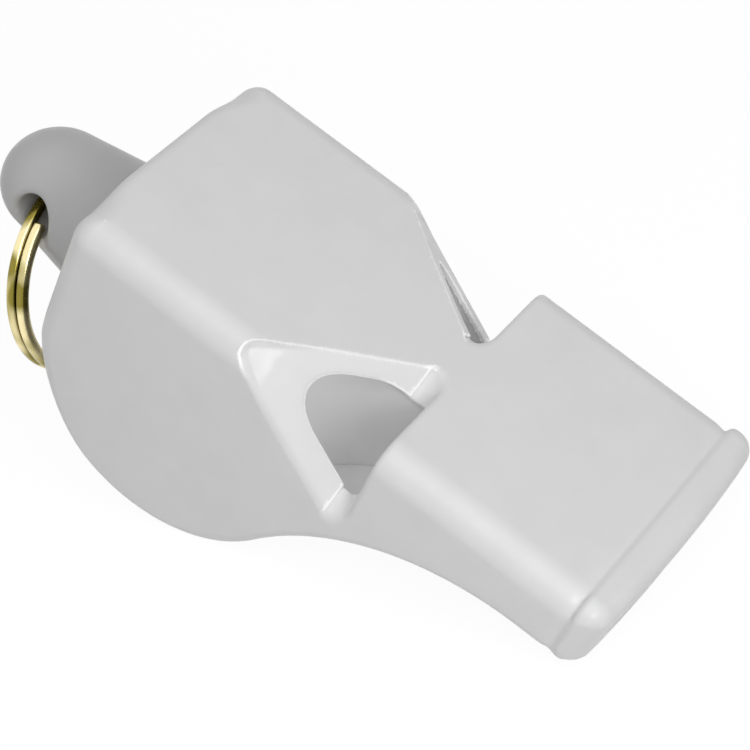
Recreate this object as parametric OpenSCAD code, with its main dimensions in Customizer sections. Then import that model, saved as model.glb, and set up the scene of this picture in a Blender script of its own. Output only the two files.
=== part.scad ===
// Three-chamber whistle without a ball: a moulded shell with two open side windows and a cord lug,
// a welded-in belly cover, an airway insert in the mouthpiece, and a two-turn split ring in the lug.
//
// Every moulding is drawn in the whistle's own frame: x runs forward from the rear face, y across,
// z up from the flat top. module at_rest() then lays the whistle as it lies on a table, on its round
// belly and the tip of its mouthpiece, with the ring hanging straight down.

/* [Body] */
// Width of the body and of the mouthpiece
body_w = 21.9; // [20:0.1:25]
// Radius of the round belly
belly_r = 11.4; // [11:0.1:12.4]
// Distance from the rear face forward to the belly's centre
belly_x = 10.9; // [10.4:0.1:11.4]
// Depth of the belly's centre below the flat top
belly_drop = 9.45; // [8.5:0.05:10.5]
// Radius of the hollow curve under the neck
neck_r = 21; // [18:0.5:26]
// Length from the rear face to the tip of the mouthpiece
body_l = 44; // [43:0.1:50]
// Rounding of the long top edges and of the rear corners
edge_r = 1.8; // [0.8:0.1:2]

/* [Walls] */
// Thickness of the top, the rear wall and the belly cover
wall = 1.4; // [1.1:0.1:1.7]
// Thickness of the two flat side walls
side_wall = 1.5; // [1.2:0.1:1.8]
// Thickness of the two partitions between the chambers
partition_t = 0.9; // [0.7:0.1:1]
// Clear width of the middle chamber
centre_w = 5.2; // [4.6:0.1:5.4]
// Rounding of the side chambers along their outer top edge
chamber_r = 3.8; // [1:0.1:4.5]
// Gap left at every welded seam
weld_gap = 0.05; // [0.03:0.01:0.12]

/* [Mouthpiece] */
// Thickness of the mouthpiece
mouth_t = 5.75; // [5.2:0.05:7]
// Length of the rounded bite lip along the mouthpiece
lip_l = 2.6; // [2.4:0.05:3.4]
// How far the bite lip stands proud of the mouthpiece all round
lip_proud = 0.2; // [0.1:0.05:0.5]
// Rounding of the bite lip
lip_r = 1.1; // [0.8:0.05:1.15]
// Radius of the slight bow of the lip's front, seen from above
lip_bow_r = 140; // [50:5:250]
// Rounding of the lip's front corners, seen from above
lip_corner_r = 1.8; // [1:0.1:2.6]
// How far the airway insert stops short of the lip's front
insert_recess = 0.8; // [0.6:0.1:2]
// Height of the three airways
airway_h = 1; // [0.7:0.1:1.2]

/* [Side windows] */
// Distance from the rear face to the back edge of each window's ramp
ramp_x = 12.3; // [11.5:0.05:15]
// Distance from the rear face to the front edge of each ramp
ramp_front_x = 23.7; // [22.5:0.02:24]
// Half the width of the neck that is left between the two ramps at the top
ramp_half_neck = 2.42; // [2.2:0.01:3.2]
// Depth of each ramp down the side wall at its front edge
ramp_depth = 7.95; // [7:0.05:9.2]
// Distance from a ramp's front edge to the back wall of the mouthpiece
slot_l = 1.7; // [1.3:0.1:2]
// Depth of the slot in front of each ramp, below the ramp's front edge
slot_depth = 0.5; // [0.3:0.05:0.6]
// Length of each side airway's outlet along its slanted slot
outlet_l = 4.4; // [3:0.1:4.8]
// Distance of that outlet outside the slot's floor line
outlet_lift = 1.3; // [1:0.1:1.5]

/* [Belly window] */
// Length of the belly window along the inside of the cover
belly_window_l = 5.6; // [4.6:0.1:6]
// Length of the slope behind the belly window, along the outside of the cover
belly_window_slope = 2.6; // [1:0.1:3]

/* [Cord lug] */
// Half width of the lug where it leaves the rear face
lug_root_w = 6.06; // [5.4:0.02:7]
// Half height of the lug where it leaves the rear face
lug_root_h = 4.48; // [4:0.02:5]
// Distance of the round tip's centre behind the rear face
lug_l = 6.87; // [6.4:0.01:8]
// Half width, half height and half length of the round tip
lug_tip_w = 4.5; // [4:0.1:4.8]
lug_tip_h = 3.54; // [3.2:0.02:4.2]
lug_tip_l = 4.23; // [3.8:0.01:4.8]
// Depth of the lug's middle below the flat top
lug_drop = 10.3; // [9.6:0.1:10.6]
// Distance of the cross hole's centre behind the rear face
hole_x = 6.1; // [5.8:0.1:6.6]
// Radius of the cross hole
hole_r = 1.45; // [1.4:0.05:1.6]
// Radius of the flared mouths of the cross hole, where they leave the lug
mouth_flare_r = 2.1; // [2:0.05:2.4]

/* [Split ring] */
// Mean radius of the ring's coils
ring_r = 7.35; // [7.2:0.05:7.8]
// Thickness of the wire, measured along the ring's radius
wire_h = 0.85; // [0.6:0.05:0.9]
// Width of the wire, measured across the ring
wire_w = 0.65; // [0.5:0.05:0.7]
// Gap between the two coils
coil_gap = 0.42; // [0.42:0.01:0.5]
// Angle over which the wire steps from one coil to the other
step_angle = 44; // [36:2:60]
// Angle left between each cut end of the wire and the step
end_angle = 10; // [8:1:20]
// Least clearance between the wire and the cross hole
ring_clear = 0.12; // [0.08:0.01:0.16]

/* [Hidden] */
$fn = 96;

past = 1;                                   // how far a cut runs past a face
far = 100;                                  // larger than the whistle
half_w = body_w / 2;
inner_half_w = half_w - side_wall;
height = belly_drop + belly_r;

// the neck's hollow curve touches the belly's circle and the underside of the mouthpiece
neck_drop = mouth_t + neck_r;
centre_step = neck_drop - belly_drop;
centre_gap = belly_r + neck_r;
neck_x = belly_x + sqrt(centre_gap * centre_gap - centre_step * centre_step);
touch = [(neck_x - belly_x) / centre_gap, -centre_step / centre_gap];

// the mouthpiece's back wall, which is also the insert's rear face
back_wall_x = ramp_front_x + slot_l;
insert_end_x = body_l - insert_recess;
lip_x = body_l - lip_l;

// the belly window starts just behind the insert and ends at a sharp edge; both are angles round
// the centre of the neck's hollow curve, away from straight up
inner_neck_r = neck_r + wall;
window_start = asin((neck_x - back_wall_x + 2 * weld_gap) / inner_neck_r);
window_edge = window_start + belly_window_l / inner_neck_r * 180 / PI;
window_slope_end = window_edge + belly_window_slope / neck_r * 180 / PI;

// the belly cover runs from a seam under the lug to the back of the lip
seam_angle = 222;
cover_end_x = lip_x - 0.3;

// the whistle lies on its belly and on the lower edge of its lip
lip_low = [body_l - lip_r, -mouth_t - lip_proud + lip_r];
to_lip = [lip_low[0] - belly_x, lip_low[1] + belly_drop];
tilt = atan2(to_lip[1], to_lip[0]) + asin((belly_r - lip_r) / norm(to_lip));
lift = belly_x * sin(tilt) + belly_drop * cos(tilt) + belly_r;
lip_reach = lip_low[0] * cos(tilt) + (lip_proud - lip_r) * sin(tilt) + lip_r;
lug_reach = -lug_l * cos(tilt) - lug_drop * sin(tilt)
    - norm([lug_tip_l * cos(tilt), lug_tip_h * sin(tilt)]);
middle_x = (lip_reach + lug_reach) / 2;

// one ramp is a plane through a point on the top's edge and the two ends of its front edge
ramp_run = ramp_front_x - ramp_x;
ramp_side = half_w - ramp_half_neck;
ramp_normal = [ramp_side * ramp_depth / ramp_run, -ramp_depth, ramp_side];
ramp_n = ramp_normal / norm(ramp_normal);
slot_angle = atan2(ramp_depth, ramp_side);

// the ring hangs in the hole, its wire clear of the wall both inside and at the mouths
stack_w = 2 * wire_w + coil_gap;
coil_pitch = wire_w + coil_gap;
hang = sqrt(pow(hole_r - ring_clear, 2) - pow(stack_w / 2, 2)) - wire_h / 2;
ring_drop = ring_r - hang;

// whistle frame to resting frame
module at_rest() {
    translate([-middle_x, 0, lift]) rotate([0, tilt, 0]) children();
}

// a flat x-z outline, extruded across the whistle from y0 to y1
module across(y0, y1) {
    translate([0, y1, 0]) rotate([90, 0, 0]) linear_extrude(y1 - y0) children();
}

// a flat y-z outline, extruded forward from x0 to x1
module along(x0, x1) {
    translate([x0, 0, 0]) rotate([90, 0, 90]) linear_extrude(x1 - x0) children();
}

// both sides of the whistle
module both_sides() {
    children();
    mirror([0, 1, 0]) children();
}

// a rectangle whose four corners are true quarter circles
module rounded_rect(low, high, r) {
    translate([low[0] + r, low[1]]) square([high[0] - low[0] - 2 * r, high[1] - low[1]]);
    translate([low[0], low[1] + r]) square([high[0] - low[0], high[1] - low[1] - 2 * r]);
    for (x = [low[0] + r, high[0] - r], y = [low[1] + r, high[1] - r]) translate([x, y]) circle(r);
}

// side outline of the whistle, drawn smaller all round by inset
module side_outline(inset) {
    r = belly_r - inset;
    corner_r = max(edge_r - inset, 0.3);
    belly_touch = [belly_x, -belly_drop] + r * touch;
    intersection() {
        translate([belly_x, -belly_drop]) circle(r);
        translate([inset, -height]) square([body_l, belly_r + past / 10]);
    }
    difference() {
        translate([inset, -belly_drop]) square([belly_x - inset, belly_drop - inset]);
        difference() {
            translate([inset - past, -inset - corner_r]) square([corner_r + past, corner_r + past]);
            translate([inset + corner_r, -inset - corner_r]) circle(corner_r);
        }
    }
    difference() {
        polygon([
            [belly_x - past, -inset],
            [belly_x - past, -belly_drop],
            belly_touch,
            [neck_x, inset - mouth_t],
            [neck_x, -inset],
        ]);
        translate([neck_x, -neck_drop]) circle(neck_r + inset, $fn = 180);
    }
    translate([neck_x - past, inset - mouth_t])
        square([lip_x + lip_r - neck_x + past, mouth_t - 2 * inset]);
}

// the part of the side outline that belongs to the belly cover, drawn smaller at its ends by gap
module cover_zone(gap) {
    start = seam_angle + gap / belly_r * 180 / PI;
    belly = [belly_x, -belly_drop];
    seam = belly + 2 * belly_r * [cos(start), sin(start)];
    polygon([
        belly,
        seam,
        [seam[0], -far],
        [cover_end_x - gap, -far],
        [cover_end_x - gap, -mouth_t / 2],
    ]);
}

// the bite lip: a bowed bar with round edges
module lip() {
    top = lip_proud;
    wide = half_w + lip_proud;
    intersection() {
        across(-wide, wide)
            rounded_rect([lip_x, -mouth_t - lip_proud], [body_l, top], lip_r);
        along(lip_x - past, body_l + past)
            rounded_rect([-wide, -mouth_t - lip_proud], [wide, top], edge_r);
        translate([0, 0, -height]) linear_extrude(2 * height) intersection() {
            translate([body_l - lip_bow_r, 0]) circle(lip_bow_r, $fn = 360);
            rounded_rect([lip_x - 2 * lip_corner_r, -wide], [body_l, wide], lip_corner_r);
        }
    }
}

// the whistle's outer form without lug and lip
module outer_form() {
    intersection() {
        across(-half_w, half_w) side_outline(0);
        along(-past, body_l) rounded_rect([-half_w, -2 * height], [half_w, 0], edge_r);
        translate([0, 0, -2 * height]) linear_extrude(3 * height)
            rounded_rect([0, -half_w], [2 * body_l, half_w], edge_r);
    }
}

// the lug: an oval root on the rear face, drawn out to a round tip
module lug() {
    hull() {
        translate([0, 0, -lug_drop]) rotate([0, 90, 0])
            scale([lug_root_h, lug_root_w, 1]) cylinder(r = 1, h = wall / 2, $fn = 48);
        translate([-lug_l, 0, -lug_drop])
            scale([lug_tip_l, lug_tip_w, lug_tip_h]) sphere(1, $fn = 40);
    }
}

// the cross hole with its two flared mouths
module lug_hole() {
    flare = mouth_flare_r - hole_r;
    translate([-hole_x, 0, -lug_drop]) {
        rotate([90, 0, 0]) cylinder(r = hole_r, h = 4 * lug_root_w, center = true);
        both_sides() translate([0, lug_tip_w - 2 * flare, 0]) rotate([-90, 0, 0])
            cylinder(r1 = hole_r, r2 = hole_r + 2 * flare, h = 4 * flare);
    }
}

// the space of one side chamber
module side_chamber() {
    y0 = centre_w / 2 + partition_t;
    intersection() {
        across(y0, inner_half_w) intersection() {
            side_outline(wall);
            translate([0, -2 * height]) square([back_wall_x, 3 * height]);
        }
        along(0, body_l)
            rounded_rect([y0 - 3 * chamber_r, -3 * height], [inner_half_w, -wall], chamber_r);
    }
}

// the space of the middle chamber
module centre_chamber() {
    across(-centre_w / 2, centre_w / 2) intersection() {
        side_outline(wall);
        translate([0, -2 * height]) square([back_wall_x, 3 * height]);
    }
}

// the space of the airway insert, open to the tip of the mouthpiece
module insert_space() {
    across(-inner_half_w, inner_half_w) {
        intersection() {
            side_outline(wall);
            translate([back_wall_x, -height]) square([far, 2 * height]);
        }
        translate([lip_x, wall - mouth_t]) square([lip_l + past, mouth_t - 2 * wall]);
    }
}

// the space of the belly cover, which also trims the partitions' lower edges
module cover_space() {
    across(-inner_half_w, inner_half_w) difference() {
        intersection() {
            side_outline(-past);
            cover_zone(0);
        }
        side_outline(wall + weld_gap);
    }
}

// everything outside one ramp, and the slot in front of it
module window_cut() {
    intersection() {
        translate([ramp_x, half_w, 0]) rotate([0, 0, atan2(-ramp_n[1], ramp_n[0])])
            rotate([0, acos(ramp_n[2]), 0]) translate([-far / 2, -far / 2, 0]) cube(far);
        translate([0, 0, -height]) cube([ramp_front_x, body_w, 2 * height]);
    }
    translate([ramp_front_x - past / 10, ramp_half_neck, 0]) rotate([-slot_angle, 0, 0])
        translate([0, -far / 2, -slot_depth]) cube([slot_l + past / 10, far, far / 2]);
}

// one side airway: a flat slit at the tip of the mouthpiece, a slanted one at its back wall
module side_airway() {
    tip_w = inner_half_w - centre_w / 4 - wall;
    out_y = ramp_half_neck + ramp_side / 2 + outlet_lift * sin(slot_angle);
    out_z = -ramp_depth / 2 + outlet_lift * cos(slot_angle);
    hull() {
        translate([insert_end_x, centre_w / 4, -wall - airway_h]) cube([past, tip_w, airway_h]);
        translate([back_wall_x - past, out_y, out_z]) rotate([-slot_angle, 0, 0])
            translate([0, -outlet_l / 2, -airway_h / 2]) cube([past, outlet_l, airway_h]);
    }
}

// the middle airway, which follows the belly cover's inner face
module centre_airway() {
    across(-centre_w / 2, centre_w / 2) difference() {
        intersection() {
            side_outline(wall - past);
            translate([back_wall_x - past, -2 * height]) square([far, 3 * height]);
        }
        side_outline(wall + airway_h);
    }
}

// shell: top, sides, rear wall with lug, partitions and the outside of the mouthpiece
module body_shell() {
    color("whitesmoke") at_rest() difference() {
        union() {
            outer_form();
            lip();
            lug();
        }
        both_sides() side_chamber();
        centre_chamber();
        insert_space();
        cover_space();
        both_sides() window_cut();
        lug_hole();
    }
}

// a point at angle a and radius r round the centre of the neck's hollow curve
function neck_point(a, r) = [neck_x - r * sin(a), r * cos(a) - neck_drop];

// cover: the bottom of the belly and the underside of the mouthpiece, with the belly window
module belly_cover() {
    half = inner_half_w - weld_gap;
    color("gainsboro") at_rest() difference() {
        across(-half, half) difference() {
            intersection() {
                side_outline(0);
                cover_zone(weld_gap);
            }
            side_outline(wall);
        }
        across(-centre_w / 2, centre_w / 2) polygon([
            neck_point(window_start, inner_neck_r + past),
            neck_point(window_start, neck_r - past),
            neck_point(window_slope_end, neck_r - past),
            neck_point(window_slope_end, neck_r),
            neck_point(window_edge, inner_neck_r),
            neck_point(window_edge, inner_neck_r + past),
        ]);
    }
}

// insert: fills the mouthpiece and leaves the three airways
module airway_insert() {
    half = inner_half_w - weld_gap;
    color("lightgray") at_rest() difference() {
        across(-half, half) intersection() {
            union() {
                side_outline(wall + weld_gap);
                translate([lip_x, wall + weld_gap - mouth_t])
                    square([lip_l, mouth_t - 2 * wall - 2 * weld_gap]);
            }
            translate([back_wall_x, -height]) square([insert_end_x - back_wall_x, 2 * height]);
        }
        both_sides() side_airway();
        centre_airway();
    }
}

// the ring's wire: two coils side by side, joined by one step
rings_per_turn = 40;
start_angle = step_angle / 2 + end_angle;
end_of_wire = 720 - step_angle / 2 - end_angle;
ring_count = ceil((end_of_wire - start_angle) / 360 * rings_per_turn);
chamfer = 0.3;
wire_section = [
    [0.5, 0.5 - chamfer], [0.5 - chamfer, 0.5], [chamfer - 0.5, 0.5], [-0.5, 0.5 - chamfer],
    [-0.5, chamfer - 0.5], [chamfer - 0.5, -0.5], [0.5 - chamfer, -0.5], [0.5, chamfer - 0.5],
];
function ease(t) = t <= 0 ? 0 : t >= 1 ? 1 : t * t * (3 - 2 * t);
function coil_place(a) = coil_pitch * (ease((a - 360) / step_angle + 0.5) - 0.5);
function wire_angle(i) = start_angle + (end_of_wire - start_angle) * i / ring_count;
function wire_point(a, side, out) =
    [coil_place(a) + side * wire_w, (ring_r + out * wire_h) * sin(a), (ring_r + out * wire_h) * cos(a)];

// least gap between the two coils, measured on the wire's facing edges
function edge_point(a, side) = wire_point(a, side, 0);
gaps = [for (i = [0 : ring_count], j = [0 : ring_count]) if (wire_angle(j) - wire_angle(i) > 180)
    norm(edge_point(wire_angle(j), -0.5) - edge_point(wire_angle(i), 0.5))];
echo(least_coil_gap = min(gaps));

// ring: hangs straight down from the lug's cross hole
module split_ring() {
    sides = len(wire_section);
    points = [for (i = [0 : ring_count], s = wire_section) wire_point(wire_angle(i), s[0], s[1])];
    walls = [for (i = [0 : ring_count - 1], k = [0 : sides - 1])
        let (a = i * sides + k, b = i * sides + (k + 1) % sides)
        each [[a, b, b + sides], [a, b + sides, a + sides]]];
    first_end = [for (k = [1 : sides - 2]) [0, k + 1, k]];
    last = ring_count * sides;
    last_end = [for (k = [1 : sides - 2]) [last, last + k, last + k + 1]];
    hole_at = [
        -hole_x * cos(tilt) - lug_drop * sin(tilt) - middle_x,
        0,
        hole_x * sin(tilt) - lug_drop * cos(tilt) + lift,
    ];
    color("goldenrod") translate(hole_at - [0, 0, ring_drop])
        polyhedron(points, concat(walls, first_end, last_end));
}

body_shell();
belly_cover();
airway_insert();
split_ring();
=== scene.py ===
"""Looks of the training whistle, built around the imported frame.

The three mouldings are drawn as distance fields in the whistle's own frame, in millimetres: x runs
forward from the rear face, y across, z up from the flat top. Each field is meshed, then place() lays
the whistle as the frame has it, at rest on its belly and on the tip of its mouthpiece.
"""

import math

import bmesh
import bpy
import numpy as np
from mathutils import Matrix, Vector


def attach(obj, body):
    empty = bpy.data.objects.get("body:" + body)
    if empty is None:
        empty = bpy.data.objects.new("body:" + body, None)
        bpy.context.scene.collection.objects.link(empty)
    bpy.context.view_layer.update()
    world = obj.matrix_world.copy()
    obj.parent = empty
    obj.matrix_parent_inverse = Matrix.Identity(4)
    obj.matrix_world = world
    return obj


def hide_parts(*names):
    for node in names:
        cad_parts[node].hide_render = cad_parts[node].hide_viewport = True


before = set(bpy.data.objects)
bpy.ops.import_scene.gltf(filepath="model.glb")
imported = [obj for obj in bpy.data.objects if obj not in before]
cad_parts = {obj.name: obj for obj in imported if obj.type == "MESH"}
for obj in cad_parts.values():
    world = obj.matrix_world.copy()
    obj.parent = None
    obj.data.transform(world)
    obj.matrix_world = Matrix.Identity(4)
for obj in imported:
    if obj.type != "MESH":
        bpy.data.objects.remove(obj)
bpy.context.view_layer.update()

# ---------------------------------------------------------------------------------- values, in mm
# A name that ends in _RISE is a pair for rising(): where the rise starts, and how long it is.
MM = 0.001

# the body, its walls and the roundings of its edges
HALF_W = 10.94
INNER_W = 9.45
BELLY_R, BELLY_X, BELLY_DROP = 11.4, 10.9, 9.45
NECK_R = 22.0
BODY_L = 44.0
REAR_X = -0.3
WALL = 1.4
GAP = 0.05
TOP_REAR_R, TOP_SIDE_R, TOP_SIDE_RISE = 1.0, 2.15, (4.5, 4)
REAR_SIDE_R, UNDER_R, REAR_SIDE_RISE = 1.7, 0.9, (-7, 6)
REAR_LOW_R = 0.5
FRONT_R = 0.5
WALL_CORNER_R = 0.6
INNER_EDGE_R = 0.3
OPENING_EDGE_R = 0.14

# the chambers
CENTRE_W = 2.6
PARTITION_OUT, CHAMBER_SIDE, CHAMBER_TOP = 3.65, 9.25, -1.1
CHAMBER_IN_R, CHAMBER_OUT_R, CHAMBER_LOW_R = 1.4, 3.3, 0.4
RIM_T = 0.45
SEAT_LAP = 0.06

# the mouthpiece and its lip
MOUTH_T = 5.75
LIP_L, LIP_PROUD, LIP_R, LIP_SIDE_R, LIP_BACK_R = 2.6, 0.2, 1.1, 1.7, 0.5
LIP_END_MORE_R, LIP_END_RISE = 0.3, (-3.5, 2)
LIP_BOW_R = 140.0
LIP_LEAN, LIP_LEAN_Z = 0.06, -1
LIP_FILLET = 0.18
GROOVE_BACK, GROOVE_W, GROOVE_DEPTH = 2.45, 0.4, 0.1

# the side windows: a ramp, a slot ahead of it, and the round far end (apex) of the ramp
RAMP_X, RAMP_FRONT_X, RAMP_HALF_NECK, RAMP_DEPTH = 12.05, 23.92, 2.08, 8.1
RAMP_FRONT_R = 0.13
SLOT_L, SLOT_DEPTH, SLOT_FILLET, SLOT_STEP_FILLET = 1.48, 0.2, 1.25, 0.12
SLOT_TOP_LESS, SLOT_TOP_H = 0.6, 0.35
APEX_U, APEX_V, APEX_R, APEX_SPREAD = 6.35, 10.35, 1.1, math.radians(36)
APEX_FILLET = 0.9
APEX_DIP, APEX_DIP_RISE = 0.25, (8.65, 2.4)
WINDOW_TOP_R, WINDOW_SIDE_MORE_R, WINDOW_SIDE_H = 0.06, 0.27, 2.5
WINDOW_FRONT_R, WINDOW_FRONT_LEAD = 0.45, 0.6

# the airway insert
INSERT_RECESS, INSERT_FACE_R = 0.55, 0.2
AIRWAY_H, AIRWAY_R, MIDDLE_AIRWAY_R = 1.0, 0.35, 0.2
OUTLET_L, OUTLET_LIFT = 4.4, 1.3

# the belly cover, with the middle chamber's window
COVER_SHORT, COVER_EDGE_R = 0.3, 0.16
SEAM_ANGLE = math.radians(222)
VENT_L, VENT_SLOPE = 5.6, 2.6
VENT_DEPTHS = (-0.5, 1.5)

# the lug and its cross hole
LUG_ROOT_W, LUG_ROOT_H, LUG_L = 6.06, 4.48, 6.87
LUG_TIP_W, LUG_TIP_H, LUG_TIP_L = 4.5, 3.54, 4.23
LUG_DROP, LUG_JOIN_X, LUG_FILLET = 10.3, -7.61, 1.2
HOLE_X, HOLE_R, HOLE_EASE, HOLE_MOUTH_R = 6.1, 1.45, 0.1, 0.9

# the split ring, whose wire ends in a few shrinking sections
RING_R, WIRE_H, WIRE_W, WIRE_SQUARENESS = 7.35, 0.85, 0.8, 2.7
COIL_SPAN, COIL_PITCH = 1.72, 0.88
HANG_PLAY = 0.12
STEP_ANGLE, END_ANGLE = math.radians(44), math.radians(10)
RING_SIDES, RING_STEPS, END_STEPS = 28, 560, 6
END_SIZES, END_RUNS = (0.05, 0.45, 0.72, 0.9, 1.0), (0.0, 0.03, 0.08, 0.15, 0.26)
LIT_CREST_POWER = 1.5

# meshing: the grid, and the boxes that hold the half of each moulding with y above zero
GRID = 0.2
SHELL_BOX = (-11.7, 0, -21.5), (45.0, 11.4, 0.9)
COVER_BOX = (-0.6, 0, -21.5), (42.0, 9.6, -2.0)
INSERT_BOX = (24.8, 0, -13.0), (43.6, 9.6, -0.8)
SLOPE_STEP, LEAST_SLOPE, SETTLE_ROUNDS = 0.01, 0.2, 3
BEND_LIMIT, SPLITS = math.cos(math.radians(14)), (0.5, 0.25)
FAR = 9.0
TINY = 1e-6

# marks on the mesh that the materials read
SLOT_MARK_RISE, SLOT_DEPTH_RISE, CHAMBER_MARK_RISE = (0.03, 0.15), (0.1, 0.4), (0.5, 0.7)
# the edge mark: where the materials paint a highlight, as a lighter colour and a glow, and make the
# surface smoother
BEND_REACH, BEND_RISE, EDGE_STOP_RISE = 0.05, (2.5, 1.5), (0.15, 0.2)
TOP_EDGE_LESS, TOP_EDGE_H, TOP_EDGE_STOP = 0.55, 0.5, 0.4
FAR_END_HIGHLIGHT_AND_POLISH, FAR_END_REACH, FAR_END_SIDE, FAR_END_RISE = 0.45, 1.2, 0.3, (-0.8, 0.6)

# what follows from the values above
LIP_X = BODY_L - LIP_L
BACK_WALL_X = RAMP_FRONT_X + SLOT_L
COVER_END_X = LIP_X - COVER_SHORT
NECK_DROP = MOUTH_T + NECK_R
CENTRE_STEP = NECK_DROP - BELLY_DROP
NECK_X = BELLY_X + math.sqrt((BELLY_R + NECK_R) ** 2 - CENTRE_STEP**2)
LUG_JOIN = math.sqrt(1 - ((LUG_JOIN_X + LUG_L) / LUG_TIP_L) ** 2)
VENT_START = math.asin((NECK_X - BACK_WALL_X + 2 * GAP) / (NECK_R + WALL))
VENT_EDGE = VENT_START + VENT_L / (NECK_R + WALL)
VENT_SLOPE_END = VENT_EDGE + VENT_SLOPE / NECK_R

# the ramp's outward normal, and the directions along its front edge and back from that edge
RAMP_RUN = RAMP_FRONT_X - RAMP_X
RAMP_SIDE = HALF_W - RAMP_HALF_NECK
RAMP_N = np.array([RAMP_SIDE * RAMP_DEPTH / RAMP_RUN, RAMP_DEPTH, RAMP_SIDE])
RAMP_N = RAMP_N / np.linalg.norm(RAMP_N)
SLOT_ANGLE = math.atan2(RAMP_DEPTH, RAMP_SIDE)
RAMP_U = np.array([0, math.cos(SLOT_ANGLE), -math.sin(SLOT_ANGLE)])
RAMP_V = np.cross(RAMP_N, RAMP_U)
RAMP_V = RAMP_V if RAMP_V[0] < 0 else -RAMP_V

# how the whistle lies on the table
LIP_LOW = (BODY_L - LIP_R, -MOUTH_T - LIP_PROUD + LIP_R)
TO_LIP = (LIP_LOW[0] - BELLY_X, LIP_LOW[1] + BELLY_DROP)
TILT = math.atan2(TO_LIP[1], TO_LIP[0]) + math.asin((BELLY_R - LIP_R) / math.hypot(*TO_LIP))
LIFT = BELLY_X * math.sin(TILT) + BELLY_DROP * math.cos(TILT) + BELLY_R
LIP_REACH = LIP_LOW[0] * math.cos(TILT) + (LIP_PROUD - LIP_R) * math.sin(TILT) + LIP_R
LUG_REACH = (
    -LUG_L * math.cos(TILT)
    - LUG_DROP * math.sin(TILT)
    - math.hypot(LUG_TIP_L * math.cos(TILT), LUG_TIP_H * math.sin(TILT))
)
MIDDLE_X = (LIP_REACH + LUG_REACH) / 2


# ------------------------------------------------------------------------------- distance fields
def round_max(a, b, r):
    """Where both fields hold, with the outer edge between them rounded to radius r."""
    return np.minimum(-r, np.maximum(a, b)) + np.hypot(np.maximum(a + r, 0), np.maximum(b + r, 0))


def round_min(a, b, r):
    """Where either field holds, with a hollow fillet of radius r between them."""
    return np.maximum(r, np.minimum(a, b)) - np.hypot(np.maximum(r - a, 0), np.maximum(r - b, 0))


def smooth(t):
    """0 below 0, 1 above 1, and an even curve between."""
    t = np.clip(t, 0, 1)
    return t * t * (3 - 2 * t)


def rising(value, start, run):
    """0 up to start, then rising to 1 over run."""
    return smooth((value - start) / run)


def underside(x, z):
    """Round belly, hollow neck and flat underside of the mouthpiece."""
    belly = np.hypot(x - BELLY_X, np.minimum(z + BELLY_DROP, 0)) - BELLY_R
    neck = NECK_R - np.hypot(x - NECK_X, z + NECK_DROP)
    before_neck = (z + BELLY_DROP) * (NECK_X - BELLY_X) + (x - BELLY_X) * CENTRE_STEP < 0
    return np.where(x > NECK_X, -MOUTH_T - z, np.where(before_neck, belly, neck))


def side_profile(x, z, top_r, rear_r):
    """The whistle seen from the side, without its front end."""
    return round_max(round_max(-x, underside(x, z), rear_r), z, top_r)


def inner_profile(x, z):
    """The same profile with the wall's thickness taken off."""
    return side_profile(x, z, WALL_CORNER_R, WALL_CORNER_R) + WALL


def lip_front(x, y):
    """Distance ahead of the bowed front of the lip."""
    return np.hypot(x - BODY_L + LIP_BOW_R, y) - LIP_BOW_R


def outer_form(x, y, z):
    """The solid outside of the body and the mouthpiece, with its own rounding on every edge."""
    low = round_max(REAR_X - x, underside(x, z), REAR_LOW_R)
    side_r = UNDER_R + (REAR_SIDE_R - UNDER_R) * rising(-x, *REAR_SIDE_RISE)
    side = round_max(low, y - HALF_W, side_r)
    top_r = TOP_REAR_R + (TOP_SIDE_R - TOP_REAR_R) * rising(y, *TOP_SIDE_RISE)
    groove = GROOVE_DEPTH * np.exp(-(((lip_front(x, y) + GROOVE_BACK) / GROOVE_W) ** 2))
    return round_max(round_max(side, z, top_r), x - LIP_X - LIP_R, FRONT_R) + groove


def lip(x, y, z):
    """The bead round the tip: bowed, leaning a little, and rounder towards its two ends."""
    front = lip_front(x, y) - LIP_LEAN * np.minimum(z - LIP_LEAN_Z, 0)
    high = np.abs(z + MOUTH_T / 2) - MOUTH_T / 2 - LIP_PROUD
    end_r = LIP_R + LIP_END_MORE_R * rising(y - HALF_W, *LIP_END_RISE)
    bar = round_max(round_max(front, high, end_r), y - HALF_W - LIP_PROUD, LIP_SIDE_R)
    return round_max(bar, LIP_X - x, LIP_BACK_R)


def ellipsoid(*pairs):
    """First-order distance to an ellipsoid, from pairs of an offset and its half axis."""
    near = np.sqrt(sum((p / s) ** 2 for p, s in pairs))
    steep = np.sqrt(sum((p / (s * s)) ** 2 for p, s in pairs))
    return near * (near - 1) / np.maximum(steep, TINY)


def lug(x, y, z):
    """An oval taper from the rear face, closed by a round tip."""
    dz = z + LUG_DROP
    along = np.clip((x - LUG_JOIN_X) / -LUG_JOIN_X, 0, None)
    wide = LUG_TIP_W * LUG_JOIN * (1 - along) + LUG_ROOT_W * along
    high = LUG_TIP_H * LUG_JOIN * (1 - along) + LUG_ROOT_H * along
    taper = ellipsoid((y, wide), (dz, high))
    tip = ellipsoid((x + LUG_L, LUG_TIP_L), (y, LUG_TIP_W), (dz, LUG_TIP_H))
    return np.maximum(np.where(x > LUG_JOIN_X, taper, tip), x - WALL / 2)


def lug_hole(x, z):
    return np.hypot(x + HOLE_X, z + LUG_DROP) - HOLE_R


def ramp_height(x, y, z):
    return RAMP_N[0] * (x - RAMP_X) + RAMP_N[1] * (y - HALF_W) + RAMP_N[2] * z


def slot_height(y, z):
    """Height above the slot's floor, which comes up a little just under the flat top."""
    depth = SLOT_DEPTH * (1 - SLOT_TOP_LESS * smooth(1 + z / SLOT_TOP_H))
    return math.sin(SLOT_ANGLE) * (y - RAMP_HALF_NECK) + math.cos(SLOT_ANGLE) * z + depth


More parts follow.
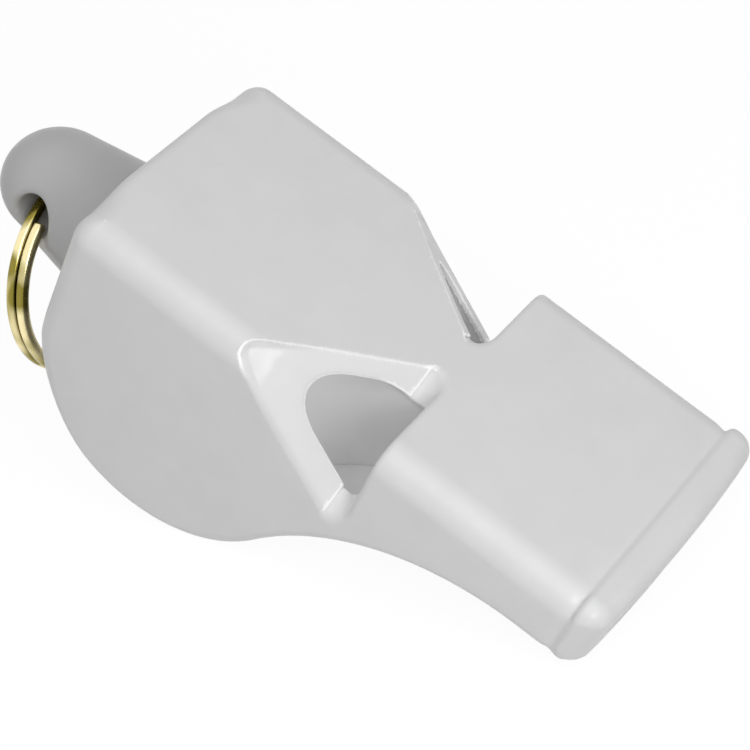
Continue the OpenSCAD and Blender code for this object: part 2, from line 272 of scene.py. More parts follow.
def ramp_place(x, y, z):
    """Place on the ramp: along its front edge from the neck, and back from that edge."""
    dx, dy = x - RAMP_FRONT_X, y - RAMP_HALF_NECK
    u = RAMP_U[1] * dy + RAMP_U[2] * z
    v = RAMP_V[0] * dx + RAMP_V[1] * dy + RAMP_V[2] * z
    return u, v


def past_apex(u, v):
    """Distance beyond the round wedge that closes the ramp's far end."""
    a, b = np.abs(u - APEX_U), v - APEX_V
    straight = a * math.cos(APEX_SPREAD) + b * math.sin(APEX_SPREAD)
    return np.where(b > a * math.tan(APEX_SPREAD), np.hypot(a, b), straight) - APEX_R


def notch_walls(x, y, z):
    """What stands round a side window: the ramp, the slot's floor and the mouthpiece's back wall."""
    u, v = ramp_place(x, y, z)
    scoop = ramp_height(x, y, z) + APEX_DIP * rising(v, *APEX_DIP_RISE)
    scoop = round_min(scoop, -past_apex(u, v), APEX_FILLET)
    block = round_max(scoop, x - RAMP_FRONT_X, RAMP_FRONT_R)
    block = round_min(block, slot_height(y, z), SLOT_STEP_FILLET)
    return round_min(block, BACK_WALL_X - x, SLOT_FILLET)


def notch_edge_r(x, z):
    """Rounding of the window's outer edges: crisp along the top, softer down the side and ahead."""
    side = WINDOW_TOP_R + WINDOW_SIDE_MORE_R * smooth(-z / WINDOW_SIDE_H)
    ahead = rising(x - RAMP_FRONT_X, -WINDOW_FRONT_LEAD, SLOT_L + WINDOW_FRONT_LEAD)
    return side + (WINDOW_FRONT_R - side) * ahead


def cover_zone(x, z, gap):
    """The part of the underside that belongs to the belly cover."""
    dx, dz = x - BELLY_X, z + BELLY_DROP
    seam = math.sin(SEAM_ANGLE) * dx - math.cos(SEAM_ANGLE) * dz
    run, rise = COVER_END_X - BELLY_X, BELLY_DROP - MOUTH_T / 2
    above = (run * dz - rise * dx) / math.hypot(run, rise)
    return np.maximum(np.maximum(seam + gap, above), x - COVER_END_X + gap)


def side_chamber(x, y, z):
    wall = round_max(-x, underside(x, z), WALL_CORNER_R) + WALL
    low = round_max(wall, y - CHAMBER_SIDE, CHAMBER_LOW_R)
    outer_roof = round_max(z - CHAMBER_TOP, y - CHAMBER_SIDE, CHAMBER_OUT_R)
    inner_roof = round_max(z - CHAMBER_TOP, PARTITION_OUT - y, CHAMBER_IN_R)
    return np.maximum(np.maximum(low, outer_roof), inner_roof)


def rimmed_chamber(x, y, z):
    """A side chamber whose arch in the ramp keeps a rim of even thickness, square to the ramp."""
    on_ramp = x < RAMP_FRONT_X
    depth = -np.where(on_ramp, ramp_height(x, y, z), slot_height(y, z))
    nx = np.where(on_ramp, RAMP_N[0], 0)
    ny = np.where(on_ramp, RAMP_N[1], math.sin(SLOT_ANGLE))
    nz = np.where(on_ramp, RAMP_N[2], math.cos(SLOT_ANGLE))
    arch = side_chamber(x + nx * depth, y + ny * depth, z + nz * depth)
    return np.maximum(side_chamber(x, y, z), np.minimum(RIM_T - depth, arch))


def hollows(x, y, z):
    """The chambers, the insert's space and the cover's seat, each as a field of its own."""
    inner = inner_profile(x, z)
    side = rimmed_chamber(x, y, z)
    middle = round_max(inner, y - CENTRE_W, INNER_EDGE_R)
    behind = x - BACK_WALL_X
    insert = np.maximum(round_max(inner, y - INNER_W, INNER_EDGE_R), -behind)
    seat = np.maximum(np.maximum(y - INNER_W, SEAT_LAP - inner), cover_zone(x, z, 0))
    return np.maximum(side, behind), np.maximum(middle, behind), insert, seat


def shell_field(x, y, z):
    y = np.abs(y)
    form = round_min(outer_form(x, y, z), lip(x, y, z), LIP_FILLET)
    form = round_max(form, notch_walls(x, y, z), notch_edge_r(x, z))
    form = round_min(form, lug(x, y, z), LUG_FILLET)
    form = round_max(form, HOLE_EASE - lug_hole(x, z), HOLE_MOUTH_R)
    for space in hollows(x, y, z):
        form = round_max(form, -space, OPENING_EDGE_R)
    return form


def neck_arc(x, z):
    """Angle away from straight up, and distance, round the centre of the neck's hollow curve."""
    return np.arctan2(NECK_X - x, z + NECK_DROP), np.hypot(x - NECK_X, z + NECK_DROP)


def vent(x, y, z):
    """The middle chamber's window in the belly cover, whose rear side slopes outwards."""
    angle, reach = neck_arc(x, z)
    depth = np.clip((reach - NECK_R) / WALL, *VENT_DEPTHS)
    slope = VENT_SLOPE_END + (VENT_EDGE - VENT_SLOPE_END) * depth
    along = np.maximum(VENT_START - angle, angle - slope) * NECK_R
    return round_max(np.where(x < NECK_X, along, FAR), y - CENTRE_W, INNER_EDGE_R)


def cover_field(x, y, z):
    y = np.abs(y)
    skin = side_profile(x, z, TOP_REAR_R, REAR_LOW_R)
    band = np.maximum(skin, -inner_profile(x, z))
    zone = np.maximum(y - INNER_W + GAP, cover_zone(x, z, GAP))
    return round_max(round_max(band, zone, COVER_EDGE_R), -vent(x, y, z), OPENING_EDGE_R)


def side_airway(x, y, z):
    """A flat slit at the tip that turns into the slanted slit at the back wall."""
    t = smooth((x - BACK_WALL_X) / (BODY_L - INSERT_RECESS - BACK_WALL_X))
    tip_w = INNER_W - CENTRE_W / 2 - WALL
    out_y = RAMP_HALF_NECK + RAMP_SIDE / 2 + OUTLET_LIFT * math.sin(SLOT_ANGLE)
    out_z = -RAMP_DEPTH / 2 + OUTLET_LIFT * math.cos(SLOT_ANGLE)
    cy = out_y + (CENTRE_W / 2 + tip_w / 2 - out_y) * t
    cz = out_z + (-WALL - AIRWAY_H / 2 - out_z) * t
    half = OUTLET_L / 2 + (tip_w - OUTLET_L) / 2 * t
    turn = SLOT_ANGLE * (1 - t)
    u = (y - cy) * np.cos(turn) - (z - cz) * np.sin(turn)
    v = (y - cy) * np.sin(turn) + (z - cz) * np.cos(turn)
    return round_max(np.abs(u) - half, np.abs(v) - AIRWAY_H / 2, AIRWAY_R)


def insert_field(x, y, z):
    y = np.abs(y)
    form = round_max(inner_profile(x, z) + GAP, y - INNER_W + GAP, INNER_EDGE_R)
    ends = np.maximum(BACK_WALL_X - x, lip_front(x, y) + INSERT_RECESS)
    form = round_max(form, ends, INSERT_FACE_R)
    low = underside(x, z) + WALL
    middle = np.abs(low + AIRWAY_H / 2) - AIRWAY_H / 2
    middle = round_max(middle, y - CENTRE_W, MIDDLE_AIRWAY_R)
    form = round_max(form, -middle, OPENING_EDGE_R)
    return round_max(form, -side_airway(x, y, z), OPENING_EDGE_R)


# ------------------------------------------------------------------------------------- meshing
CORNERS = [(i, j, k) for i in (0, 1) for j in (0, 1) for k in (0, 1)]
LOWER, MIDDLE, UPPER = slice(0, -1), slice(1, -1), slice(1, None)


def grid_values(field, low, high, step):
    """The field on a grid. Only the half with y above zero is worked out, because y mirrors."""
    xs, ys, zs = (np.arange(a, b + step, step, np.float32) for a, b in zip(low, high))
    half = field(*np.meshgrid(xs, ys, zs, indexing="ij")).astype(np.float32)
    values = np.concatenate([half[:, :0:-1], half], axis=1)
    return values, np.array([xs[0], -ys[-1], zs[0]])


def mixed_cells(inside):
    """The cells that have corners on both sides of the surface."""
    corner_sum = np.zeros([n - 1 for n in inside.shape], np.int8)
    for corner in CORNERS:
        corner_sum += inside[tuple(UPPER if n else LOWER for n in corner)]
    return (corner_sum > 0) & (corner_sum < len(CORNERS))


def crossing_means(values, at):
    """For each cell, the mean of the places where the surface crosses its edges."""
    total, count = np.zeros((len(at), 3)), np.zeros(len(at))
    edges = [(start, axis) for start in CORNERS for axis in range(3) if not start[axis]]
    for start, axis in edges:
        end = list(start)
        end[axis] = 1
        a = values[tuple((at + start).T)].astype(float)
        b = values[tuple((at + end).T)].astype(float)
        cross = (a < 0) != (b < 0)
        share = np.where(cross, a / np.where(cross, a - b, 1), 0)
        point = np.tile(np.array(start, float), (len(at), 1))
        point[:, axis] += share
        total[cross] += point[cross]
        count += cross
    return total / count[:, None]


def edge_quads(flags, index, u, v):
    """A quad round each flagged edge of the grid, from the four cells that share the edge."""
    base = np.argwhere(flags)
    base[:, u] += 1
    base[:, v] += 1
    ring = []
    for du, dv in ((-1, -1), (0, -1), (0, 0), (-1, 0)):
        cell = base.copy()
        cell[:, u] += du
        cell[:, v] += dv
        ring.append(index[tuple(cell.T)])
    return np.stack(ring, axis=1)


def surface_net(values, origin, step):
    """Points and quads of the zero surface, one point in each cell that the surface crosses."""
    inside = values < 0
    mixed = mixed_cells(inside)
    at = np.argwhere(mixed)
    index = np.full(mixed.shape, -1, np.int64)
    index[mixed] = np.arange(len(at))
    points = origin + (at + crossing_means(values, at)) * step
    quads = []
    for axis in range(3):
        first, second = [MIDDLE] * 3, [MIDDLE] * 3
        first[axis], second[axis] = LOWER, UPPER
        before, after = inside[tuple(first)], inside[tuple(second)]
        u, v = (axis + 1) % 3, (axis + 2) % 3
        quads.append(edge_quads(before & ~after, index, u, v))
        quads.append(edge_quads(~before & after, index, u, v)[:, ::-1])
    return points, np.concatenate(quads)


def slope_of(field, points):
    slope = np.empty_like(points)
    for axis in range(3):
        move = np.zeros(3)
        move[axis] = SLOPE_STEP
        slope[:, axis] = field(*(points + move).T) - field(*(points - move).T)
    return slope / (2 * SLOPE_STEP)


def settle(field, points, step):
    """Moves the points onto the field's surface and returns them with its normals."""
    for _ in range(SETTLE_ROUNDS):
        slope = slope_of(field, points)
        steep = np.maximum((slope**2).sum(1), LEAST_SLOPE)
        move = slope * (field(*points.T) / steep)[:, None]
        points = points - np.clip(move, -step / 2, step / 2)
    slope = slope_of(field, points)
    return points, slope / np.maximum(np.linalg.norm(slope, axis=1), TINY)[:, None]


def place(points):
    """From the whistle's frame, in mm, to the frame's, in metres."""
    c, s = math.cos(TILT), math.sin(TILT)
    x, y, z = points.T
    return np.stack([x * c + z * s - MIDDLE_X, y, z * c - x * s + LIFT], axis=1) * MM


def turn(normals):
    return (place(normals) - place(np.zeros((1, 3)))) / MM


def mesh_object(name, points, faces):
    """A smooth mesh object from arrays. All faces have the same number of corners."""
    mesh = bpy.data.meshes.new(name)
    sides = faces.shape[1]
    mesh.vertices.add(len(points))
    mesh.vertices.foreach_set("co", points.astype(np.float32).ravel())
    mesh.loops.add(faces.size)
    mesh.loops.foreach_set("vertex_index", faces.astype(np.int32).ravel())
    mesh.polygons.add(len(faces))
    mesh.polygons.foreach_set("loop_start", np.arange(0, faces.size, sides, dtype=np.int32))
    mesh.update(calc_edges=True)
    mesh.validate()
    mesh.shade_smooth()
    made = bpy.data.objects.new(name, mesh)
    bpy.context.scene.collection.objects.link(made)
    return made


def mesh_points(mesh):
    points = np.empty(len(mesh.vertices) * 3, np.float32)
    mesh.vertices.foreach_get("co", points)
    return points.reshape(-1, 3).astype(float)


def split_bends(mesh, field, normals, step):
    """Splits the edges along which the surface turns sharply, so that small roundings stay round."""
    ends = np.empty(len(mesh.edges) * 2, np.int32)
    mesh.edges.foreach_get("vertices", ends)
    ends = ends.reshape(-1, 2)
    bends = (normals[ends[:, 0]] * normals[ends[:, 1]]).sum(1) < BEND_LIMIT
    work = bmesh.new()
    work.from_mesh(mesh)
    work.edges.ensure_lookup_table()
    picked = [work.edges[n] for n in np.flatnonzero(bends)]
    bmesh.ops.subdivide_edges(work, edges=picked, cuts=1, use_grid_fill=True)
    work.to_mesh(mesh)
    work.free()
    return settle(field, mesh_points(mesh), step)


def store(mesh, name, values):
    marks = mesh.attributes.new(name, "FLOAT", "POINT")
    marks.data.foreach_set("value", values.astype(np.float32))


def inside_mark(x, y, z):
    """0 on the outside and on the ramps, rising to 1 in the slots, the chambers and the airways."""
    form = outer_form(x, y, z)
    in_slot = rising(x - RAMP_FRONT_X, *SLOT_MARK_RISE) * rising(-form, *SLOT_DEPTH_RISE)
    return np.maximum(rising(-np.maximum(form, notch_walls(x, y, z)), *CHAMBER_MARK_RISE), in_slot)


def bend_of(field, points):
    """How sharply the surface bends outwards at each point, per mm."""
    bend = -6 * field(*points.T)
    for axis in range(3):
        move = np.zeros(3)
        move[axis] = BEND_REACH
        bend += field(*(points + move).T) + field(*(points - move).T)
    return bend / BEND_REACH**2


def far_end_highlight_and_polish_mark(x, y, z):
    """The scooped far end of each ramp, where a highlight is painted and the surface made smoother.
    """
    u, v = ramp_place(x, y, z)
    on_ramp = smooth(1 - np.abs(ramp_height(x, y, z)) / FAR_END_REACH)
    in_notch = smooth(-outer_form(x, y, z) / FAR_END_SIDE)
    near_end = rising(v - APEX_V, -FAR_END_REACH, FAR_END_REACH)
    return FAR_END_HIGHLIGHT_AND_POLISH * in_notch * (on_ramp * near_end) * rising(past_apex(u, v), *FAR_END_RISE)


def edge_highlight_and_polish_mark(field, points, x, y, z):
    """Up to 1 on crisp outer edges, fainter along the flat top and on each ramp's far end. A
    highlight is painted there and the surface made smoother.
    """
    kept = 1 - rising(x - RAMP_FRONT_X, *EDGE_STOP_RISE)
    kept -= TOP_EDGE_LESS * smooth(1 + z / TOP_EDGE_H) * (x < RAMP_FRONT_X - TOP_EDGE_STOP)
    return np.maximum(rising(bend_of(field, points), *BEND_RISE) * kept, far_end_highlight_and_polish_mark(x, y, z))


def moulding(name, field, box, step):
    """Meshes the field, splits its bends twice, lays it at rest and marks what the material reads."""
    values, origin = grid_values(field, *box, step)
    points, quads = surface_net(values, origin, step)
    points, normals = settle(field, points, step)
    piece = mesh_object(name, points, quads)
    for share in SPLITS:
        points, normals = split_bends(piece.data, field, normals, step * share)
    piece.data.vertices.foreach_set("co", place(points).astype(np.float32).ravel())
    piece.data.shade_smooth()
    piece.data.normals_split_custom_set_from_vertices(turn(normals).tolist())
    x, y, z = points[:, 0], np.abs(points[:, 1]), points[:, 2]
    deep = inside_mark(x, y, z)
    store(piece.data, "inside", deep)
    # painted highlight: the edge mark lightens crisp edges, makes them glow and makes them smoother
    store(piece.data, "edge", edge_highlight_and_polish_mark(field, points, x, y, z) * (1 - deep))
    return piece


# ------------------------------------------------------------------------------------------ ring
def wire_path():
    """Angle round the ring, place across it and size, for each section of the wire."""
    first = STEP_ANGLE / 2 + END_ANGLE
    last = 4 * math.pi - first
    end_turn = np.array(END_RUNS) / RING_R
    angle = np.linspace(first, last, RING_STEPS)[END_STEPS:-END_STEPS]
    size = np.concatenate([END_SIZES, np.ones(len(angle)), END_SIZES[::-1]])
    angle = np.concatenate([first + end_turn, angle, (last - end_turn)[::-1]])
    aside = COIL_PITCH * (smooth((angle - 2 * math.pi) / STEP_ANGLE + 0.5) - 0.5)
    return angle[:, None], aside[:, None], size[:, None]


def wire_section():
    """Offsets across the ring and out from its centre, round one section of the wire."""
    turn_by = np.linspace(0, 2 * math.pi, RING_SIDES, endpoint=False)
    across, out = np.cos(turn_by), np.sin(turn_by)
    power = 2 / WIRE_SQUARENESS
    across = WIRE_W / 2 * np.sign(across) * np.abs(across) ** power
    out = WIRE_H / 2 * np.sign(out) * np.abs(out) ** power
    return across, out


def ring_mesh():
    """Two turns of wire side by side, joined by one step, hanging in the lug's hole at rest."""
    angle, aside, size = wire_path()
    across, out = wire_section()
    radius = RING_R + size * out
    points = [aside + size * across, radius * np.sin(angle), radius * np.cos(angle)]
    hang = math.sqrt((HOLE_R - HANG_PLAY) ** 2 - (COIL_SPAN / 2) ** 2) - WIRE_H / 2
    at = place(np.array([[-HOLE_X, 0.0, -LUG_DROP]]))[0] / MM
    at[2] -= RING_R - hang
    rows = np.arange(len(angle) - 1)[:, None] * RING_SIDES
    n = np.arange(RING_SIDES)[None]
    m = (n + 1) % RING_SIDES
    faces = np.stack([rows + n, rows + n + RING_SIDES, rows + m + RING_SIDES, rows + m], axis=2)
    return (np.stack(points, axis=2).reshape(-1, 3) + at) * MM, faces.reshape(-1, 4)


def lit_crest_mark(sections):
    """1 on the wire's inner and outer crests, 0 on its sides, for every section; the brass paints
    shade on the sides.
    """
    lit_crest = np.abs(np.sin(np.arange(RING_SIDES) * 2 * math.pi / RING_SIDES)) ** LIT_CREST_POWER
    return np.tile(lit_crest, sections)


# ------------------------------------------------------------------------------------- materials
SHELL_LEVEL, SHELL_ROUGH = 0.82, 0.32
COVER_LEVEL, COVER_ROUGH = 0.81, 0.34
INSERT_LEVEL, INSERT_ROUGH = 0.80, 0.36
# crisp edges: a painted highlight, as a lighter colour and a small glow, and a smoother surface
EDGE_HIGHLIGHT_LEVEL, EDGE_ROUGH, EDGE_HIGHLIGHT_GLOW = 1.0, 0.2, 0.12
PASSED_LIGHT, LIGHT_FADES = (0.14, 0.0), (13, 23)
# painted shade: the lug's plastic is drawn darker than the body's, fading in at the rear face
LUG_PAINTED_SHADE, LUG_PAINTED_SHADE_FROM = (0.64, 1), (-1.2, 0.4)

# each noise: the size of its pattern in mm, its detail and its roughness
MOTTLE, SHEEN, PEEL, GRAIN = (3.2, 3.0, 0.5), (1.1, 2.0, 0.5), (0.9, 1.0, 0.5), (0.16, 2.0, 0.5)
WEAR, POLISH, SCRATCHES = (2.6, 1.0, 0.3), (0.5, 2.0, 0.5), (0.22, 3.0, 0.5)
NOISE_SPAN, WEAR_SPAN, WHOLE_SPAN = (0.3, 0.7), (0.36, 0.64), (0, 1)
MOTTLE_FACTORS = (0.985, 1.015)
SHEEN_STEPS = (-0.04, 0.05)
PEEL_DEPTH, GRAIN_DEPTH, SCRATCH_DEPTH = 0.012, 0.006, 0.006
PLASTIC_BUMP, BRASS_BUMP = 0.6, 0.5
SOAK_SHARE, SOAK_DEPTH, PLASTIC_IOR = 0.2, 0.3, 1.5
BRASS_WEAR, BRASS_DULL, BRASS_BRIGHT = (0.2, 0.8), (0.3, 0.25, 0.05), (1.0, 0.88, 0.5)
# painted shade: the wire's sides drawn darker than its crests
BRASS_SHADED_SIDES, BRASS_ROUGH = (0.3, 1), (0.16, 0.3)

# a Mix node's sockets for colours share their names with its other sockets, so they go by number
MIX_A, MIX_B, MIX_RESULT = 6, 7, 2


def node_material(name):
    made = bpy.data.materials.new(name)
    made.use_nodes = True
    nodes, links = made.node_tree.nodes, made.node_tree.links
    nodes.clear()
    out = nodes.new("ShaderNodeOutputMaterial")
    shader = nodes.new("ShaderNodeBsdfPrincipled")
    links.new(shader.outputs["BSDF"], out.inputs["Surface"])
    where = nodes.new("ShaderNodeTexCoord").outputs["Object"]
    return made, nodes, links, shader, where


def noise(nodes, links, where, size_mm, detail, rough):
    made = nodes.new("ShaderNodeTexNoise")
    made.inputs["Scale"].default_value = 1 / (size_mm * MM)
    made.inputs["Detail"].default_value = detail
    made.inputs["Roughness"].default_value = rough
    links.new(where, made.inputs["Vector"])
    return made.outputs["Fac"]


def marked(nodes, name):
    """What store() put on the mesh under this name."""
    made = nodes.new("ShaderNodeAttribute")
    made.attribute_name = name
    return made.outputs["Fac"]


def ranged(nodes, links, value, span, results):
    """The value taken from its span to the two results, and no further."""
    made = nodes.new("ShaderNodeMapRange")
    made.inputs["From Min"].default_value, made.inputs["From Max"].default_value = span
    made.inputs["To Min"].default_value, made.inputs["To Max"].default_value = results
    links.new(value, made.inputs["Value"])
    return made.outputs["Result"]


def combined(nodes, links, operation, first, second):
    made = nodes.new("ShaderNodeMath")
    made.operation = operation
    links.new(first, made.inputs[0])
    links.new(second, made.inputs[1])
    return made.outputs[0]


def bumped(nodes, links, height, depth_mm, strength, before=None):
    made = nodes.new("ShaderNodeBump")
    made.inputs["Strength"].default_value = strength
    made.inputs["Distance"].default_value = depth_mm * MM
    links.new(height, made.inputs["Height"])
    if before is not None:
        links.new(before, made.inputs["Normal"])
    return made.outputs["Normal"]


def tinted(nodes, links, value, low, high):
    ramp = nodes.new("ShaderNodeValToRGB")
    for element, position, colour in zip(ramp.color_ramp.elements, NOISE_SPAN, (low, high)):
        element.position = position
        element.color = (*colour, 1)
    links.new(value, ramp.inputs["Fac"])
    return ramp.outputs["Color"]


def along_whistle(nodes, links, where, span, results):
    """A value that changes along the whistle, over a span of its x in mm, between two results."""
    axis = nodes.new("ShaderNodeVectorMath")
    axis.operation = "DOT_PRODUCT"
    axis.inputs[1].default_value = (math.cos(TILT), 0, -math.sin(TILT))
    links.new(where, axis.inputs[0])
    origin = (LIFT * math.sin(TILT) + MIDDLE_X * math.cos(TILT)) * MM
    span = [x * MM - origin for x in span]
    result = ranged(nodes, links, axis.outputs["Value"], span, results)
    result.node.interpolation_type = "SMOOTHSTEP"
    return result


def scaled(nodes, links, colour, factor):
    made = nodes.new("ShaderNodeVectorMath")
    made.operation = "SCALE"
    links.new(colour, made.inputs[0])
    links.new(factor, made.inputs["Scale"])
    return made.outputs["Vector"]


def plastic_colour(nodes, links, where, edge, level):
    """Faint mottling, painted shade that darkens the lug, and a painted highlight on crisp edges."""
    low, high = ((level * factor,) * 3 for factor in MOTTLE_FACTORS)
    mottled = tinted(nodes, links, noise(nodes, links, where, *MOTTLE), low, high)
    # painted shade that darkens the lug
    painted_lug_shade = along_whistle(nodes, links, where, LUG_PAINTED_SHADE_FROM, LUG_PAINTED_SHADE)
    mixed = nodes.new("ShaderNodeMix")
    mixed.data_type = "RGBA"
    links.new(edge, mixed.inputs["Factor"])
    links.new(scaled(nodes, links, mottled, painted_lug_shade), mixed.inputs[MIX_A])
    # painted highlight: crisp edges drawn lighter
    mixed.inputs[MIX_B].default_value = (EDGE_HIGHLIGHT_LEVEL, EDGE_HIGHLIGHT_LEVEL, EDGE_HIGHLIGHT_LEVEL, 1)
    return mixed.outputs[MIX_RESULT]


def plastic_glow(nodes, links, where, edge):
    """A small glow: a painted highlight along the edges, and painted light on the insides in place of
    the light that thin walls pass.
    """
    passed = along_whistle(nodes, links, where, LIGHT_FADES, PASSED_LIGHT)
    inside = combined(nodes, links, "MULTIPLY", marked(nodes, "inside"), passed)
    # painted highlight: a small glow along crisp edges
    edges = ranged(nodes, links, edge, WHOLE_SPAN, (0, EDGE_HIGHLIGHT_GLOW))
    return combined(nodes, links, "ADD", inside, edges)


def plastic_roughness(nodes, links, where, edge, rough):
    """A slightly uneven sheen, smoother on crisp edges."""
    sheen = noise(nodes, links, where, *SHEEN)
    uneven = ranged(nodes, links, sheen, NOISE_SPAN, [rough + step for step in SHEEN_STEPS])
    mixed = nodes.new("ShaderNodeMix")
    links.new(edge, mixed.inputs["Factor"])
    links.new(uneven, mixed.inputs["A"])
    mixed.inputs["B"].default_value = EDGE_ROUGH
    return mixed.outputs["Result"]


def plastic(name, level, rough):
    """Moulded ABS, with a soft orange peel and a fine moulded grain."""
    made, nodes, links, shader, where = node_material(name)
    edge = marked(nodes, "edge")
    links.new(plastic_colour(nodes, links, where, edge, level), shader.inputs["Base Color"])
    links.new(plastic_roughness(nodes, links, where, edge, rough), shader.inputs["Roughness"])
    # painted highlight on the edges and painted light inside, as a glow
    links.new(plastic_glow(nodes, links, where, edge), shader.inputs["Emission Strength"])
    shader.inputs["Emission Color"].default_value = (1, 1, 1, 1)
    peel, grain = noise(nodes, links, where, *PEEL), noise(nodes, links, where, *GRAIN)
    relief = bumped(nodes, links, peel, PEEL_DEPTH, PLASTIC_BUMP)
    relief = bumped(nodes, links, grain, GRAIN_DEPTH, PLASTIC_BUMP, relief)
    links.new(relief, shader.inputs["Normal"])
    shader.inputs["Subsurface Weight"].default_value = SOAK_SHARE
    shader.inputs["Subsurface Radius"].default_value = (1.0, 1.0, 1.0)
    shader.inputs["Subsurface Scale"].default_value = SOAK_DEPTH * MM
    shader.inputs["IOR"].default_value = PLASTIC_IOR
    return made


def brass(name):
    """Brass wire, worn unevenly, with painted shade on its sides and a fine uneven polish."""
    made, nodes, links, shader, where = node_material(name)
    wear = ranged(nodes, links, noise(nodes, links, where, *WEAR), WEAR_SPAN, BRASS_WEAR)
    colour = tinted(nodes, links, wear, BRASS_DULL, BRASS_BRIGHT)
    # painted shade on the wire's sides
    sides = ranged(nodes, links, marked(nodes, "lit_crest"), WHOLE_SPAN, BRASS_SHADED_SIDES)
    links.new(scaled(nodes, links, colour, sides), shader.inputs["Base Color"])
    polish = noise(nodes, links, where, *POLISH)
    links.new(ranged(nodes, links, polish, NOISE_SPAN, BRASS_ROUGH), shader.inputs["Roughness"])
    scratches = noise(nodes, links, where, *SCRATCHES)
    relief = bumped(nodes, links, scratches, SCRATCH_DEPTH, BRASS_BUMP)
    links.new(relief, shader.inputs["Normal"])
    shader.inputs["Metallic"].default_value = 1.0
    return made


# ------------------------------------------------------------------------------- floor and light
# lengths in this section are in metres
FLOOR_HALF, FLOOR_LEVEL, FLOOR_GLOW, FLOOR_GLOW_SHARE = 3.0, 0.55, 1.16, 0.8
WORLD_LEVELS, WORLD_SPAN, WORLD_BRIGHT_SIDE = (0.0, 0.56), (-0.6, 1), (0.15, -0.35, 0.9)
LIT_PLACE = (0, 0, 0.01)
KEY_AT, KEY_SIZE, KEY_WATTS = (0.142, -0.12, 0.08), 0.06, 0.075
FILL_AT, FILL_SIZE, FILL_WATTS = (0.115, -0.125, 0.185), 0.24, 0.165


def seen_directly(nodes, links):
    """1 for camera, glossy and transmission rays."""
    path = nodes.new("ShaderNodeLightPath")
    total = path.outputs["Is Camera Ray"]
    for other in ("Is Glossy Ray", "Is Transmission Ray"):
        total = combined(nodes, links, "MAXIMUM", total, path.outputs[other])
    return total


def white_floor():
    """A plain floor that takes the object's shadow and looks nearly white."""
    half = FLOOR_HALF
    corners = np.array([[-half, -half, 0], [half, -half, 0], [half, half, 0], [-half, half, 0]])
    floor = mesh_object("floor", corners, np.array([[0, 1, 2, 3]]))
    made = bpy.data.materials.new("floor_white")
    made.use_nodes = True
    nodes, links = made.node_tree.nodes, made.node_tree.links
    nodes.clear()
    out = nodes.new("ShaderNodeOutputMaterial")
    diffuse = nodes.new("ShaderNodeBsdfDiffuse")
    diffuse.inputs["Color"].default_value = (FLOOR_LEVEL, FLOOR_LEVEL, FLOOR_LEVEL, 1)
    glow = nodes.new("ShaderNodeEmission")
    glow.inputs["Strength"].default_value = FLOOR_GLOW
    mixed = nodes.new("ShaderNodeMixShader")
    share = ranged(nodes, links, seen_directly(nodes, links), WHOLE_SPAN, (0, FLOOR_GLOW_SHARE))
    links.new(share, mixed.inputs["Fac"])
    links.new(diffuse.outputs[0], mixed.inputs[1])
    links.new(glow.outputs[0], mixed.inputs[2])
    links.new(mixed.outputs[0], out.inputs["Surface"])
    floor.data.materials.append(made)
    return floor


def pale_world():
    """A white surround that lights the scene softly, more from one side than from the other."""
    world = bpy.data.worlds.new("studio")
    bpy.context.scene.world = world
    world.use_nodes = True
    nodes, links = world.node_tree.nodes, world.node_tree.links
    back = nodes["Background"]
    back.inputs["Color"].default_value = (1, 1, 1, 1)
    facing = nodes.new("ShaderNodeVectorMath")
    facing.operation = "DOT_PRODUCT"
    links.new(nodes.new("ShaderNodeTexCoord").outputs["Generated"], facing.inputs[0])
    facing.inputs[1].default_value = Vector(WORLD_BRIGHT_SIDE).normalized()
    soft = ranged(nodes, links, facing.outputs["Value"], WORLD_SPAN, WORLD_LEVELS)
    level = nodes.new("ShaderNodeMapRange")
    links.new(soft, level.inputs["To Min"])
    level.inputs["To Max"].default_value = 1.0
    links.new(seen_directly(nodes, links), level.inputs["Value"])
    links.new(level.outputs["Result"], back.inputs["Strength"])


def area_light(name, at, size, watts):
    lamp = bpy.data.lights.new(name, "AREA")
    lamp.shape = "DISK"
    lamp.size = size
    lamp.energy = watts
    made = bpy.data.objects.new(name, lamp)
    bpy.context.scene.collection.objects.link(made)
    made.location = at
    made.rotation_euler = (Vector(LIT_PLACE) - Vector(at)).to_track_quat("-Z", "Y").to_euler()


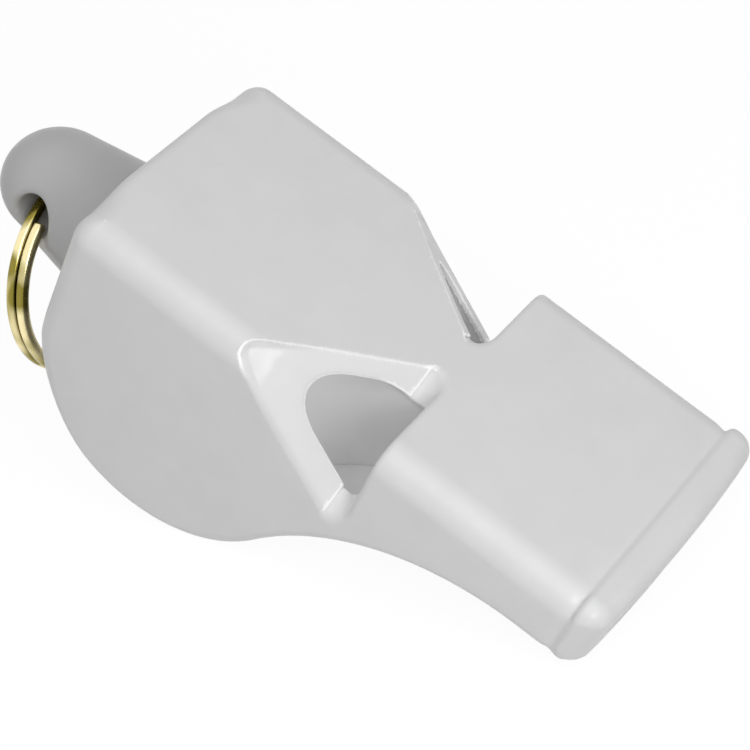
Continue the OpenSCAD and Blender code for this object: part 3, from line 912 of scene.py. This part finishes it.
# ---------------------------------------------------------------------------------------- camera
# in the whistle's frame, in mm
CAMERA_AT = (50.83, -122.01, 128.56)
CAMERA_RIGHT = (0.7849, 0.5379, 0.3076)
CAMERA_DOWN = (0.5968, -0.5228, -0.6087)
CAMERA_AHEAD = (-0.1666, 0.6613, -0.7313)
FOCAL_PX, FRAME_PX, SENSOR_MM = 2692.09, 750, 36.0
CLIP_START, CLIP_END = 0.01, 20


def make_camera():
    """The photograph's view, solved in the whistle's frame and laid at rest with it."""
    axes = turn(np.array([CAMERA_RIGHT, CAMERA_DOWN, CAMERA_AHEAD]))
    right, down, ahead = (Vector(a) for a in axes)
    data = bpy.data.cameras.new("camera")
    data.sensor_width = SENSOR_MM
    data.lens = SENSOR_MM * FOCAL_PX / FRAME_PX
    data.clip_start, data.clip_end = CLIP_START, CLIP_END
    made = bpy.data.objects.new("camera", data)
    bpy.context.scene.collection.objects.link(made)
    turned = Matrix((right, -down, -ahead)).transposed().to_4x4()
    turned.translation = Vector(place(np.array([CAMERA_AT]))[0])
    made.matrix_world = turned
    bpy.context.scene.camera = made


# ----------------------------------------------------------------------------------------- scene
def dress(piece, body, node, material):
    piece.data.materials.append(material)
    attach(piece, body)
    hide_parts(node)


make_camera()

shell = moulding("whistle_shell", shell_field, SHELL_BOX, GRID)
shell_abs = plastic("shell_abs", SHELL_LEVEL, SHELL_ROUGH)
dress(shell, "whistle", "body_shell", shell_abs)

cover = moulding("belly_cover_moulding", cover_field, COVER_BOX, GRID)
cover_abs = plastic("cover_abs", COVER_LEVEL, COVER_ROUGH)
dress(cover, "whistle", "belly_cover", cover_abs)

insert = moulding("airway_insert_moulding", insert_field, INSERT_BOX, GRID)
insert_abs = plastic("insert_abs", INSERT_LEVEL, INSERT_ROUGH)
dress(insert, "whistle", "airway_insert", insert_abs)

ring = mesh_object("ring_wire", *ring_mesh())
# marks the crests, so that the brass can paint shade on the wire's sides
store(ring.data, "lit_crest", lit_crest_mark(len(ring.data.vertices) // RING_SIDES))
dress(ring, "ring", "split_ring", brass("ring_brass"))

floor = white_floor()
pale_world()
area_light("key", KEY_AT, KEY_SIZE, KEY_WATTS)
area_light("fill", FILL_AT, FILL_SIZE, FILL_WATTS)

bpy.context.scene.view_settings.view_transform = "Standard"
